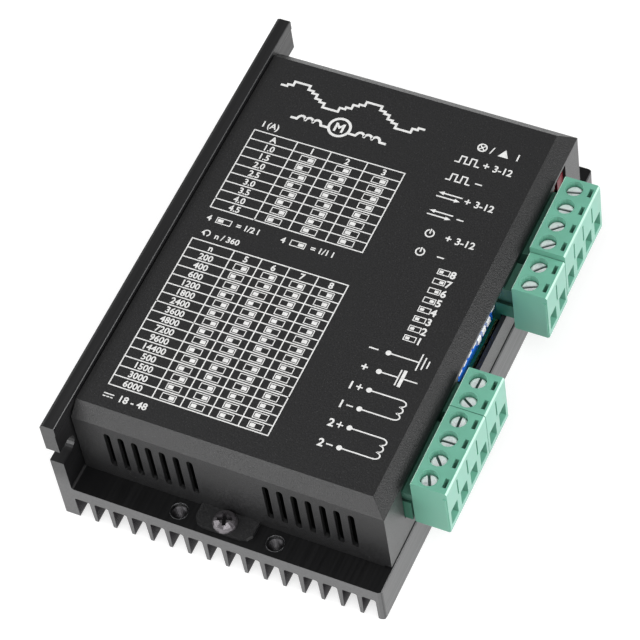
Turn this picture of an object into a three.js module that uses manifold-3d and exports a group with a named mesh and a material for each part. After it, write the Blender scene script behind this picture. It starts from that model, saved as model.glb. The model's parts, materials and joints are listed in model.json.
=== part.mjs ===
import * as THREE from 'three';
import { mergeVertices } from 'three/addons/utils/BufferGeometryUtils.js';
import Module from 'manifold-3d';

// Two-phase step-motor driver module, millimetres, +Z up.
// Design frame while building: x = 0 on the outer face of the tall heatsink wall, +X towards the
// terminal side, y = 0 on the near end of the extrusion, +Y along its length, z = 0 at the fin tips.
// At the end the group is moved so that the origin is the centre of the bounding box's bottom face.

// ---------------------------------------------------------------- driving dimensions
const L = 118.0;            // extrusion length
const W = 76.0;             // extrusion width
const H = 34.0;             // height of the tall wall
const WALL_T = 3.3;         // wall thickness
const LIP_X = 3.5;          // inner face of the small lip at the top of the wall
const LIP_Z = 31.6;         // lower edge of that lip
const BASE_TOP = 10.8;      // top face of the base plate
const FIN_ROOT = 7.1;       // underside of the base plate
const FIN_PITCH = 4.507;
const FIN_FIRST = 8.1;      // right-hand flank of the first fin at its root
const FIN_COUNT = 15;
const FOOT_W = 3.45;        // foot under the wall
const EDGE_FIN = 1.6;       // fin flush with the right-hand face
const SLOT_Z = 22.8, SLOT_R = 2.2, SLOT_C = 3.6;   // open-ended mounting slots in the wall
const HOLE_X = [27.6, 50.2], HOLE_Y = 3.3, HOLE_R = 1.75; // spare tapped holes in the base ledges
const COVER_SCREW_X = 38.6, COVER_SCREW_Y = 3.5;

const CT = 1.0;             // cover sheet thickness
const CX0 = 3.6, CX1 = 75.7, CY0 = 6.4, CY1 = 111.6, CZ0 = 10.9, CZ1 = 32.7;
const BEV_Z = 2.9, BEV_X = 3.4, BEV_Y = 3.0;
const TAB_X0 = 31.8, TAB_X1 = 45.4, TAB_Y0 = 1.1, TAB_R = 2.4;
const VENT_W = 1.5, VENT_Z0 = 15.0, VENT_Z1 = 27.4, VENT_PITCH = 3.25;
const VENT_X = [11.45, 48.45];
const BAY_Y0 = 14.7, BAY_Y1 = 104.3, BAY_Z0 = 18.1, BAY_Z1 = 29.0;   // connector bay in the side wall

const PCB_Z0 = 13.9, PCB_Z1 = 15.5, PCB_X0 = 6.0, PCB_X1 = 73.0, PCB_Y0 = 14.0, PCB_Y1 = 105.2;
const POST_X = 13, POST_Y = [19, 99.5];

const PITCH = 5.08;         // terminal pitch
const PX0 = 77.8, PX1 = 85.9, PZ0 = 17.6, PZ1 = 32.2;  // plug shell
const SCREW_X = 80.95;      // terminal screw axis
const POWER_Y = 17.8;       // first pole of the power row
const SIGNAL_Y = 71.39;     // first pole of the signal row
const LOW = -2.0;           // the two-pole signal plug sits lower than the others
const HEAD_R = 1.85, HEAD_Z0 = 28.85, HEAD_Z1 = 30.8, SHANK_R = 1.25;
const CAGE_Z0 = 19.2, CAGE_Z1 = 25.4;

const DIP_X0 = 64.4, DIP_X1 = 72.3, DIP_Y0 = 49.2, DIP_Y1 = 69.45, DIP_Z1 = 25.4;
const SW_Y = 50.72, SW_PITCH = 2.54;
const SW_OUT = [0, 0, 0, 0, 1, 1, 1, 0];   // 1 = lower position

// ---------------------------------------------------------------- solid helpers
const wasm = await Module();
wasm.setup();

function solid(geometry) {
  const g = geometry.clone();
  g.deleteAttribute('normal');
  g.deleteAttribute('uv');
  const m = mergeVertices(g, 1e-5);
  const vertProperties = new Float32Array(m.attributes.position.array);
  const triVerts = new Uint32Array(m.index.array);
  return new wasm.Manifold(new wasm.Mesh({ numProp: 3, vertProperties, triVerts }));
}
const box = (x0, x1, y0, y1, z0, z1) => {
  const g = new THREE.BoxGeometry(x1 - x0, y1 - y0, z1 - z0);
  g.translate((x0 + x1) / 2, (y0 + y1) / 2, (z0 + z1) / 2);
  return solid(g);
};
// straight prism: outline in (a, b), pushed along +Y (outline in X-Z), +X (outline in Y-Z) or +Z (outline in X-Y)
function prism(points, axis, from, to) {
  const shape = new THREE.Shape(points.map(([a, b]) => new THREE.Vector2(a, b)));
  const g = new THREE.ExtrudeGeometry(shape, { depth: to - from, bevelEnabled: false });
  const m = new THREE.Matrix4();
  if (axis === 'z') m.set(1, 0, 0, 0, 0, 1, 0, 0, 0, 0, 1, from, 0, 0, 0, 1);
  if (axis === 'y') m.set(1, 0, 0, 0, 0, 0, -1, to, 0, 1, 0, 0, 0, 0, 0, 1);
  if (axis === 'x') m.set(0, 0, 1, from, 1, 0, 0, 0, 0, 1, 0, 0, 0, 0, 0, 1);
  g.applyMatrix4(m);
  return solid(g);
}
const cylZ = (x, y, z0, z1, r, n = 20) => {
  const g = new THREE.CylinderGeometry(r, r, z1 - z0, n);
  g.rotateX(Math.PI / 2);
  g.translate(x, y, (z0 + z1) / 2);
  return solid(g);
};
const cylX = (y, z, x0, x1, r, n = 20) => {
  const g = new THREE.CylinderGeometry(r, r, x1 - x0, n);
  g.rotateZ(Math.PI / 2);
  g.translate((x0 + x1) / 2, y, z);
  return solid(g);
};
function lathe(profile, x, y, z, n = 20) {
  const pts = profile.concat([profile[0]]).map(([r, h]) => new THREE.Vector2(r, h));
  const g = new THREE.LatheGeometry(pts, n);
  g.rotateX(Math.PI / 2);
  g.translate(x, y, z);
  return solid(g);
}
// frustum along X between two rectangles [y0, y1, z0, z1]
function funnel(x0, r0, x1, r1) {
  const v = [];
  for (const [x, r] of [[x0, r0], [x1, r1]]) v.push([x, r[0], r[2]], [x, r[1], r[2]], [x, r[1], r[3]], [x, r[0], r[3]]);
  const quads = [[0, 3, 2, 1], [4, 5, 6, 7], [0, 1, 5, 4], [1, 2, 6, 5], [2, 3, 7, 6], [3, 0, 4, 7]];
  const pos = [];
  for (const [a, b, c, d] of quads) pos.push(...v[a], ...v[b], ...v[c], ...v[a], ...v[c], ...v[d]);
  const g = new THREE.BufferGeometry();
  g.setAttribute('position', new THREE.BufferAttribute(new Float32Array(pos), 3));
  return solid(g);
}
// hip-roofed box: footprint at z0, straight sides to zs, bevels to z1 with the given insets
function hipped(x0, x1, y0, y1, z0, zs, z1, ix0, ix1, iy) {
  const rings = [
    [x0, x1, y0, y1, z0], [x0, x1, y0, y1, zs], [x0 + ix0, x1 - ix1, y0 + iy, y1 - iy, z1],
  ];
  const v = [];
  for (const [a, b, c, d, z] of rings) v.push([a, c, z], [b, c, z], [b, d, z], [a, d, z]);
  const tri = [];
  const quad = (a, b, c, d) => tri.push(...v[a], ...v[b], ...v[c], ...v[a], ...v[c], ...v[d]);
  quad(0, 3, 2, 1);
  for (let k = 0; k < 2; k++) for (let i = 0; i < 4; i++) {
    const j = (i + 1) % 4;
    quad(4 * k + i, 4 * k + j, 4 * (k + 1) + j, 4 * (k + 1) + i);
  }
  quad(8, 9, 10, 11);
  const g = new THREE.BufferGeometry();
  g.setAttribute('position', new THREE.BufferAttribute(new Float32Array(tri), 3));
  return solid(g);
}
const sum = (list) => list.reduce((a, b) => a.add(b));
const cut = (s, list) => list.reduce((a, b) => a.subtract(b), s);

const group = new THREE.Group();
group.name = 'step_driver';
let shift = null;
function put(name, s, colour, roughness, metalness) {
  const m = s.getMesh();
  const g = new THREE.BufferGeometry();
  g.setAttribute('position', new THREE.BufferAttribute(new Float32Array(m.vertProperties), 3));
  g.setIndex(new THREE.BufferAttribute(new Uint32Array(m.triVerts), 1));
  g.translate(...shift);
  g.computeVertexNormals();
  const mesh = new THREE.Mesh(g, new THREE.MeshStandardMaterial({ color: colour, roughness, metalness, flatShading: true }));
  mesh.name = name;
  group.add(mesh);
}
shift = [-PX1 / 2, -L / 2, 0];

const ANODISED = 0x2a2b2d, SHEET = 0x1e1f21, GREEN = 0x5fbf95, DARK_GREEN = 0x2f8060, STEEL = 0xc4c7ca;

// ---------------------------------------------------------------- heatsink extrusion
{
  const p = [[0, 0], [FOOT_W, 0], [FOOT_W - 0.1, FIN_ROOT - 0.3], [FOOT_W + 0.3, FIN_ROOT]];
  for (let k = 0; k < FIN_COUNT; k++) {
    const x = FIN_FIRST + FIN_PITCH * k;
    p.push([x - 1.5, FIN_ROOT], [x - 1.15, FIN_ROOT - 0.35], [x - 0.95, 0], [x - 0.2, 0], [x, FIN_ROOT - 0.35], [x + 0.35, FIN_ROOT]);
  }
  p.push([W - EDGE_FIN - 0.35, FIN_ROOT], [W - EDGE_FIN, FIN_ROOT - 0.35], [W - EDGE_FIN + 0.05, 0], [W - 0.2, 0], [W, 0.2]);
  p.push([W, BASE_TOP - 0.25], [W - 0.25, BASE_TOP], [WALL_T + 0.4, BASE_TOP], [WALL_T, BASE_TOP + 0.4]);
  p.push([WALL_T, LIP_Z - 0.6], [LIP_X, LIP_Z], [LIP_X, H - 0.15], [LIP_X - 0.15, H], [0.9, H], [0.28, H - 0.28], [0, H - 0.9]);
  let s = prism(p, 'y', 0, L);
  const tools = [];
  for (const [c, e] of [[SLOT_C, -1], [L - SLOT_C, L + 1]]) {
    tools.push(cylX(c, SLOT_Z, -1, LIP_X + 1, SLOT_R, 20));
    tools.push(box(-1, LIP_X + 1, Math.min(c, e), Math.max(c, e), SLOT_Z - SLOT_R, SLOT_Z + SLOT_R));
  }
  for (const y of [HOLE_Y, L - HOLE_Y]) for (const x of HOLE_X) tools.push(cylZ(x, y, FIN_ROOT - 2, BASE_TOP + 1, HOLE_R, 18));
  for (const y of [COVER_SCREW_Y, L - COVER_SCREW_Y]) tools.push(cylZ(COVER_SCREW_X, y, FIN_ROOT - 0.4, BASE_TOP + 1, 1.6, 14));
  for (const y of [45, 73]) tools.push(cylX(y, 22, 0.8, WALL_T + 1, 1.6, 16));
  for (const [x, y, a] of [[W, 0, 1], [W, L, -1]]) tools.push(prism(a > 0 ? [[x - 0.9, y - 1], [x + 1, y - 1], [x + 1, y + 0.9], [x, y + 0.9], [x - 0.26, y + 0.26], [x - 0.9, y]] : [[x - 0.9, y], [x - 0.26, y - 0.26], [x, y - 0.9], [x + 1, y - 0.9], [x + 1, y + 1], [x - 0.9, y + 1]], 'z', -1, BASE_TOP + 1));
  s = cut(s, tools);
  put('heatsink', s, ANODISED, 0.45, 0.6);
}

// ---------------------------------------------------------------- folded sheet cover
{
  const k = CT * 0.42;
  let s = hipped(CX0, CX1, CY0, CY1, CZ0, CZ1 - BEV_Z, CZ1, 0, BEV_X, BEV_Y);
  s = s.subtract(hipped(CX0 - 5, CX1 - CT, CY0 + CT, CY1 - CT, CZ0 - 5, CZ1 - BEV_Z - k, CZ1 - CT, 0, BEV_X - 0.02, BEV_Y - 0.02));
  const tools = [box(0, LIP_X + 0.2, 0, L, LIP_Z - 0.9, H + 1), box(CX1 - CT - 0.6, CX1 + 1, CY0 - 0.01, CY1 + 0.01, CZ0 - 1, CZ0 + 0.5)];
  tools.push(box(CX1 - CT - 2.2, CX1 + 1, BAY_Y0, BAY_Y1, BAY_Z0, BAY_Z1));
  for (const x0 of VENT_X) for (let i = 0; i < 7; i++) {
    const x = x0 + VENT_PITCH * i, r = VENT_W / 2, pts = [];
    for (let a = 0; a <= 4; a++) pts.push([x + r * Math.cos(Math.PI * a / 4), VENT_Z1 - r + r * Math.sin(Math.PI * a / 4)]);
    for (let a = 4; a <= 8; a++) pts.push([x + r * Math.cos(Math.PI * a / 4), VENT_Z0 + r + r * Math.sin(Math.PI * a / 4)]);
    tools.push(prism(pts, 'y', CY0 - 1, CY0 + CT + 1));
    tools.push(prism(pts, 'y', CY1 - CT - 1, CY1 + 1));
  }
  s = cut(s, tools);
  const tab = [[TAB_X0, CY0 + 0.5], [TAB_X0, TAB_Y0 + TAB_R]];
  for (let a = 1; a <= 5; a += 2) tab.push([TAB_X0 + TAB_R - TAB_R * Math.cos(Math.PI * a / 10), TAB_Y0 + TAB_R - TAB_R * Math.sin(Math.PI * a / 10)]);
  for (let a = 5; a >= 1; a -= 2) tab.push([TAB_X1 - TAB_R + TAB_R * Math.cos(Math.PI * a / 10), TAB_Y0 + TAB_R - TAB_R * Math.sin(Math.PI * a / 10)]);
  tab.push([TAB_X1, TAB_Y0 + TAB_R], [TAB_X1, CY0 + 0.5]);
  const ccw = tab.slice().reverse();
  s = s.add(prism(ccw, 'z', CZ0, CZ0 + CT + 0.05));
  s = s.add(prism(tab.map(([x, y]) => [x, L - y]), 'z', CZ0, CZ0 + CT + 0.05));
  s = cut(s, [COVER_SCREW_Y, L - COVER_SCREW_Y].map((y) => cylZ(COVER_SCREW_X, y, CZ0 - 1, CZ0 + 3, 1.75, 14)));
  put('cover', s, SHEET, 0.55, 0.3);
}

// ---------------------------------------------------------------- cover screws
for (const [name, y, turn] of [['cover_screw_near', COVER_SCREW_Y, 0.35], ['cover_screw_far', L - COVER_SCREW_Y, 1.1]]) {
  const z = CZ0 + CT + 0.12;
  let s = lathe([[0, 7.4 - z], [1.42, 7.5 - z], [1.42, 0], [2.75, 0], [2.75, 0.55], [2.4, 1.3], [1.3, 1.82], [0, 1.92]], COVER_SCREW_X, y, z, 18);
  for (const a of [turn, turn + Math.PI / 2]) {
    const g = new THREE.BoxGeometry(3.3, 0.86, 2.4);
    g.rotateZ(a);
    g.translate(COVER_SCREW_X, y, z + 1.92 + 0.15);
    s = s.subtract(solid(g));
  }
  put(name, s, STEEL, 0.3, 0.9);
}

// ---------------------------------------------------------------- circuit board and its posts
{
  let s = box(PCB_X0, PCB_X1, PCB_Y0, PCB_Y1, PCB_Z0, PCB_Z1);
  for (const y of POST_Y) s = s.subtract(cylZ(POST_X, y, PCB_Z0 - 1, PCB_Z1 + 1, 1.65, 14));
  put('pcb', s, 0x0c5a41, 0.5, 0.0);
}
for (const [name, y] of [['pcb_post_near', POST_Y[0]], ['pcb_post_far', POST_Y[1]]]) {
  put(name, lathe([[0, BASE_TOP + 0.05], [3, BASE_TOP + 0.05], [3, PCB_Z0 - 0.05], [1.5, PCB_Z0 - 0.05], [1.5, PCB_Z1 + 0.05], [2.1, PCB_Z1 + 0.1], [2.1, PCB_Z1 + 0.6], [1.1, PCB_Z1 + 2.2], [0, PCB_Z1 + 2.2]], POST_X, y, 0, 12), 0xe6e3d6, 0.5, 0.0);
}

// ---------------------------------------------------------------- power stage against the wall
put('thermal_pad', cut(box(WALL_T + 0.05, WALL_T + 0.45, 30, 88, 16.4, 28.6), [45, 73].map((y) => cylX(y, 22, 2, 6, 1.75, 16))), 0x9aa0a8, 0.8, 0.0);
[37.2, 52.8, 65.2, 80.8].forEach((y, i) => {
  const x = WALL_T + 0.55;
  let s = prism([[x, 17.2], [x + 4.2, 17.2], [x + 4.2, 26], [x + 3.9, 27.2], [x, 27.2]], 'y', y - 5, y + 5);
  const legs = [-2.54, 0, 2.54].map((d) => box(x + 2.4, x + 3.0, y + d - 0.45, y + d + 0.45, PCB_Z1 + 0.1, 17.5));
  put(`transistor_${i + 1}`, s.add(sum(legs)), 0x202124, 0.5, 0.1);
});
put('clamp_bar', cut(box(8.4, 10.0, 31, 87, 19.6, 25.4), [45, 73].map((y) => cylX(y, 22, 8, 11, 1.75, 16))), 0xa8abae, 0.4, 0.8);
[45, 73].forEach((y, i) => {
  let s = cylX(y, 22, 1.1, 10.4, 1.45, 16).add(cylX(y, 22, 10.12, 12.2, 2.75, 20));
  for (const a of [0.4, 0.4 + Math.PI / 2]) {
    const g = new THREE.BoxGeometry(2.4, 3.0, 0.62);
    g.rotateX(a);
    g.translate(12.4, y, 22);
    s = s.subtract(solid(g));
  }
  put(`clamp_screw_${i + 1}`, s, STEEL, 0.3, 0.9);
});

// ---------------------------------------------------------------- other parts on the board
[[24, 27], [24, 92]].forEach(([x, y], i) => {
  put(`capacitor_${i + 1}`, lathe([[0, 0], [5, 0.1], [5, 1.1], [4.7, 1.4], [5, 1.7], [5, 13.6], [4.6, 14], [0, 14]], x, y, PCB_Z1 + 0.05, 16), 0x23345c, 0.4, 0.2);
});
put('controller_chip', hipped(35.5, 45.5, 54, 64, PCB_Z1 + 0.05, PCB_Z1 + 0.7, PCB_Z1 + 1.6, 0.2, 0.2, 0.2), 0x1b1c1e, 0.5, 0.1);
put('optocoupler_bank', sum([86, 92, 98].map((y) => box(52, 58.4, y - 2.3, y + 2.3, PCB_Z1 + 0.05, PCB_Z1 + 3.4)).concat([box(53.5, 56.9, 86, 98, PCB_Z1 + 0.05, PCB_Z1 + 0.6)])), 0xe8e6dc, 0.5, 0.0);
{
  // alarm lamp: flat lens held up at the top of the connector bay on two leads
  const s = box(72.0, 75.1, 100.9, 104.0, 23.6, 26.8).add(box(72.4, 73.0, 101.3, 101.9, PCB_Z1 + 0.08, 24)).add(box(72.4, 73.0, 103.0, 103.6, PCB_Z1 + 0.08, 24));
  put('alarm_lamp', s, 0x7a1420, 0.3, 0.0);
}

// ---------------------------------------------------------------- switch bank
{
  let s = box(DIP_X0, DIP_X1, DIP_Y0, DIP_Y1, PCB_Z1 + 0.1, DIP_Z1);
  for (let i = 0; i < 8; i++) {
    const y = SW_Y + SW_PITCH * i;
    s = s.subtract(box(DIP_X1 - 1.6, DIP_X1 + 1, y - 0.92, y + 0.92, 18.1, 22.5));
  }
  s = s.subtract(box(DIP_X1 - 0.25, DIP_X1 + 1, DIP_Y0 - 1, DIP_Y1 + 1, DIP_Z1 - 0.5, DIP_Z1 + 1));
  put('switch_body', s, 0x2f7fe0, 0.35, 0.0);
  for (let i = 0; i < 8; i++) {
    const y = SW_Y + SW_PITCH * i, z = SW_OUT[i] ? 18.25 : 20.3;
    const t = prism([[DIP_X1 - 1.5, z], [DIP_X1 + 0.55, z], [DIP_X1 + 0.8, z + 0.25], [DIP_X1 + 0.8, z + 1.75], [DIP_X1 + 0.55, z + 2.0], [DIP_X1 - 1.5, z + 2.0]], 'y', y - 0.84, y + 0.84);
    put(`switch_slider_${i + 1}`, t, 0xf2f2f0, 0.4, 0.0);
  }
}

// ---------------------------------------------------------------- headers (shroud with its pins moulded in)
function header(name, y0, n, endNear, notchTop, foreNear) {
  const ylo = foreNear, yhi = y0 + PITCH * (n - 1) + 3.0;
  const xs = 73.4;
  let s = box(67.0, 77.5, ylo, yhi, PCB_Z1 + 0.1, 28.2);
  if (endNear < ylo) s = s.add(box(xs, 77.5, endNear, ylo + 0.3, 18.4, 28.2));
  const tools = [
    box(74.2, 78, endNear - 1, yhi + 1, PCB_Z1 - 1, 18.4),
    box(68.6, 78, ylo + 0.5, yhi - 0.9, 19.2, 27.1),
    box(xs, 78, endNear - 1, ylo + 0.55, notchTop, 29),
    box(xs, 78, yhi - 0.95, yhi + 1, notchTop, 29),
    box(75.4, 78, ylo + 0.5, yhi - 0.9, 27, 29),
  ];
  s = cut(s, tools);
  const pins = [];
  for (let i = 0; i < n; i++) {
    const y = y0 + PITCH * i;
    pins.push(prism([[65.3, PCB_Z1 + 0.1], [66.3, PCB_Z1 + 0.1], [66.3, 22.4], [76.4, 22.4], [76.8, 22.65], [76.8, 23.15], [76.4, 23.4], [65.6, 23.4], [65.3, 23.1]], 'y', y - 0.45, y + 0.45));
  }
  put(name, s.add(sum(pins)), DARK_GREEN, 0.5, 0.0);
}
header('power_header', POWER_Y, 6, 14.95, 24.7, 14.95);
header('signal_header', SIGNAL_Y, 6, 69.3, 22.6, 69.6);

// ---------------------------------------------------------------- pluggable screw-terminal plugs
function plug(name, y0, n, dz, tongueNear, rib) {
  const ylo = y0 - PITCH / 2 + (rib ? -0.06 : 0.03), yhi = y0 + PITCH * (n - 1) + PITCH / 2 - 0.03;
  const z0 = PZ0 + dz, z1 = PZ1 + dz;
  let s = prism([[PX0, z0 + 0.2], [PX0 + 0.2, z0], [PX1 - 0.5, z0], [PX1, z0 + 0.5], [PX1, z1 - 0.35], [PX1 - 0.35, z1], [PX0 + 0.25, z1], [PX0, z1 - 0.25]], 'y', ylo, yhi);
  s = s.add(box(69.4, PX0 + 0.5, tongueNear, yhi - 1.3, 19.5, 26.8));
  // small keying rib on the near end, close to the wire side
  if (rib) s = s.add(prism([[PX1 - 0.85, ylo + 0.2], [PX1 - 0.85, ylo - 0.22], [PX1 - 0.25, ylo - 0.22], [PX1 - 0.25, ylo + 0.2]].reverse(), 'z', z0 + 1.2, z1 - 2.0));
  const tools = [];
  for (let i = 0; i < n; i++) {
    const y = y0 + PITCH * i;
    tools.push(cylZ(SCREW_X, y, 28.75 + dz, z1 + 1, 2.0, 20));
    tools.push(cylZ(SCREW_X, y, 27.5 + dz, 29.5 + dz, 1.45, 16));
    tools.push(box(78.8, 83.4, y - 1.95, y + 1.95, 18.9 + dz, 28.2 + dz));
    tools.push(funnel(83.2, [y - 1.3, y + 1.3, 20.3 + dz, 23.7 + dz], PX1 + 0.05, [y - 1.65, y + 1.65, 19.6 + dz, 24.3 + dz]));
    tools.push(box(84.2, 85.1, y - 1.15, y + 1.15, z1 - 4.2, z1 + 1));
    tools.push(box(69, 79.2, y - 0.65, y + 0.65, 22.2, 23.6));
    if (i < n - 1) tools.push(box(PX1 - 0.4, PX1 + 1, y + PITCH / 2 - 0.25, y + PITCH / 2 + 0.25, z0 + 7.6, z1 - 1.7));
  }
  s = cut(s, tools);
  put(name, s, GREEN, 0.45, 0.0);
}
plug('power_plug_4p', POWER_Y, 4, 0, 15.6, true);
plug('power_plug_2p', POWER_Y + 4 * PITCH + 0.12, 2, 0, POWER_Y + 4 * PITCH - 1.2, false);
plug('signal_plug_2p', SIGNAL_Y, 2, LOW, 70.25, true);
plug('signal_plug_4p', SIGNAL_Y + 2 * PITCH + 0.12, 4, -0.3, SIGNAL_Y + 2 * PITCH - 1.2, false);

// ---------------------------------------------------------------- terminal screws and clamp cages
const POLES = [];
for (let i = 0; i < 6; i++) POLES.push([`power_${i + 1}`, POWER_Y + PITCH * i + (i > 3 ? 0.12 : 0), 0]);
for (let i = 0; i < 6; i++) POLES.push([`signal_${i + 1}`, SIGNAL_Y + PITCH * i + (i > 1 ? 0.12 : 0), i < 2 ? LOW : -0.3]);
const SLOT_ANGLE = [117, 133, 2, 94, 149, 90, 26, 47, 39, 41, 4, 15];
POLES.forEach(([id, y, dz], i) => {
  let s = lathe([[0, 24.6 + dz], [SHANK_R, 24.75 + dz], [SHANK_R, HEAD_Z0 + dz], [HEAD_R, HEAD_Z0 + dz], [HEAD_R, HEAD_Z1 - 0.35 + dz], [HEAD_R - 0.35, HEAD_Z1 - 0.05 + dz], [0, HEAD_Z1 + dz]], SCREW_X, y, 0, 16);
  const g = new THREE.BoxGeometry(5, 0.6, 1.6);
  g.rotateZ(SLOT_ANGLE[i] * Math.PI / 180);
  g.translate(SCREW_X, y, HEAD_Z1 + dz - 0.05);
  s = s.subtract(solid(g));
  put(`screw_${id}`, s, STEEL, 0.3, 0.9);
  let c = box(79.0, 83.2, y - 1.75, y + 1.75, CAGE_Z0 + dz, CAGE_Z1 + dz);
  c = cut(c, [box(78, 84, y - 1.36, y + 1.36, CAGE_Z0 + 1.0 + dz, CAGE_Z1 - 1.4 + dz), cylZ(SCREW_X, y, CAGE_Z1 - 2 + dz, CAGE_Z1 + 1 + dz, 1.36, 16)]);
  put(`cage_${id}`, c, 0xb9bcc0, 0.35, 0.9);
});

export default group;
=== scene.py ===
import bpy, bmesh, json, math, random
import numpy as np
from mathutils import Matrix, Vector


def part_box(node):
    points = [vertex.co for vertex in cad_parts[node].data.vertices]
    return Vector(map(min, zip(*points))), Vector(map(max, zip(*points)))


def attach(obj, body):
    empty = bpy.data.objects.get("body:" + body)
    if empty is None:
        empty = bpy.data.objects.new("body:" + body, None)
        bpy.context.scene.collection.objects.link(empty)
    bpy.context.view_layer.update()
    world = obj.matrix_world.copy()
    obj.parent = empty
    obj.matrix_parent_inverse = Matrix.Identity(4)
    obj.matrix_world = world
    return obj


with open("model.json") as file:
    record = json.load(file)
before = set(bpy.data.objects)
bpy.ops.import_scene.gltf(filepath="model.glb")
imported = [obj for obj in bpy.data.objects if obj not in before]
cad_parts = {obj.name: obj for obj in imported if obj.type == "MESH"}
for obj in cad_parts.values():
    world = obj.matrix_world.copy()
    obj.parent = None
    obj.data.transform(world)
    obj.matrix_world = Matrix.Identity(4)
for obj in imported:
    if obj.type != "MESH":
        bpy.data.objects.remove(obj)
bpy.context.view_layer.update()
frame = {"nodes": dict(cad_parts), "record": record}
nodes = frame["nodes"]
random.seed(7)

# design frame (millimetres from the wall's outer face and the near end) to the row frame in metres
SX, SY = -42.95, -59.0
def D(x, y, z):
    return Vector(((x + SX) / 1000, (y + SY) / 1000, z / 1000))

# ---------------------------------------------------------------- materials
def srgb(r, g, b):
    f = lambda c: c / 12.92 if c <= 0.04045 else ((c + 0.055) / 1.055) ** 2.4
    return (f(r / 255), f(g / 255), f(b / 255))

class M:
    """A small builder of node materials; every number in metres of the row frame."""
    def __init__(self, name):
        self.m = bpy.data.materials.new(name)
        self.m.use_nodes = True
        self.t = self.m.node_tree
        self.bsdf = next(n for n in self.t.nodes if n.type == "BSDF_PRINCIPLED")
        self.tc = self.t.nodes.new("ShaderNodeTexCoord")
        self.height = None
    def link(self, a, b):
        self.t.links.new(a, b)
    def put(self, socket, v):
        if isinstance(v, (int, float)):
            socket.default_value = v
        elif isinstance(v, (tuple, list)):
            socket.default_value = tuple(v) + ((1.0,) if len(v) == 3 and socket.type == "RGBA" else ())
        else:
            self.link(v, socket)
    def mapping(self, scale=(1, 1, 1), rot=(0, 0, 0)):
        n = self.t.nodes.new("ShaderNodeMapping")
        n.inputs["Scale"].default_value = scale
        n.inputs["Rotation"].default_value = rot
        self.link(self.tc.outputs["Object"], n.inputs["Vector"])
        return n.outputs["Vector"]
    def noise(self, scale, detail=3.0, rough=0.55, vec=None, dist=0.0):
        n = self.t.nodes.new("ShaderNodeTexNoise")
        n.inputs["Scale"].default_value = scale
        n.inputs["Detail"].default_value = detail
        n.inputs["Roughness"].default_value = rough
        n.inputs["Distortion"].default_value = dist
        self.link(vec if vec is not None else self.tc.outputs["Object"], n.inputs["Vector"])
        return n.outputs["Fac"]
    def voronoi(self, scale, feature="F1", vec=None):
        n = self.t.nodes.new("ShaderNodeTexVoronoi")
        n.feature = feature
        n.inputs["Scale"].default_value = scale
        self.link(vec if vec is not None else self.tc.outputs["Object"], n.inputs["Vector"])
        return n.outputs["Distance"]
    def math(self, op, a, b=None, c=None, clamp=False):
        n = self.t.nodes.new("ShaderNodeMath")
        n.operation = op
        n.use_clamp = clamp
        self.put(n.inputs[0], a)
        if b is not None:
            self.put(n.inputs[1], b)
        if c is not None:
            self.put(n.inputs[2], c)
        return n.outputs[0]
    def ramp(self, fac, lo, hi, a=0.0, b=1.0):
        n = self.t.nodes.new("ShaderNodeMapRange")
        self.put(n.inputs["Value"], fac)
        n.inputs["From Min"].default_value = lo
        n.inputs["From Max"].default_value = hi
        n.inputs["To Min"].default_value = a
        n.inputs["To Max"].default_value = b
        n.interpolation_type = "SMOOTHSTEP"
        return n.outputs["Result"]
    def mix(self, fac, a, b):
        n = self.t.nodes.new("ShaderNodeMix")
        n.data_type = "RGBA"
        self.put(n.inputs[0], fac)
        self.put(n.inputs[6], a)
        self.put(n.inputs[7], b)
        return n.outputs[2]
    def xyz(self, which="Object"):
        n = self.t.nodes.new("ShaderNodeSeparateXYZ")
        self.link(self.tc.outputs[which], n.inputs[0])
        return n.outputs
    def maxabs(self):
        n = self.xyz("Normal")
        a = [self.math("ABSOLUTE", n[i]) for i in range(3)]
        return self.math("MAXIMUM", self.math("MAXIMUM", a[0], a[1]), a[2]), a
    def bump(self, height, strength, distance):
        n = self.t.nodes.new("ShaderNodeBump")
        n.inputs["Strength"].default_value = strength
        n.inputs["Distance"].default_value = distance
        self.link(height, n.inputs["Height"])
        if self.height is not None:
            self.link(self.height, n.inputs["Normal"])
        self.height = n.outputs["Normal"]
        self.link(self.height, self.bsdf.inputs["Normal"])
    def set(self, **kw):
        for k, v in kw.items():
            self.put(self.bsdf.inputs[k.replace("_", " ")], v)
        return self

def scale3(c, k):
    return tuple(min(1.0, x * k) for x in c)

def plastic(name, base, rough=0.4, var=0.12, ior=1.48, sss=0.0, grain=0.12, coat=0.0, vscale=160):
    m = M(name)
    big = m.noise(vscale, 3)
    col = m.mix(m.ramp(big, 0.3, 0.7), scale3(base, 1 - var), scale3(base, 1 + var))
    fine = m.noise(5200, 2)
    m.set(Base_Color=col, Roughness=m.ramp(big, 0.25, 0.75, rough - 0.05, rough + 0.07), IOR=ior, Metallic=0.0)
    if sss:
        m.set(Subsurface_Weight=sss, Subsurface_Radius=(0.6, 1.0, 0.7), Subsurface_Scale=0.0012)
    if coat:
        m.set(Coat_Weight=coat, Coat_Roughness=0.15)
    m.bump(fine, grain, 0.00002)
    return m

def metal(name, base, rough=0.3, grain=0.1, var=0.1, brush=None, vscale=600):
    m = M(name)
    big = m.noise(vscale, 4)
    col = m.mix(m.ramp(big, 0.3, 0.7), scale3(base, 1 - var), scale3(base, 1 + var * 0.5))
    m.set(Base_Color=col, Metallic=1.0, Roughness=m.ramp(big, 0.25, 0.75, rough - 0.07, rough + 0.1))
    v = m.mapping(brush) if brush else None
    m.bump(m.noise(3000, 3, vec=v), grain, 0.00002)
    return m

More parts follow.
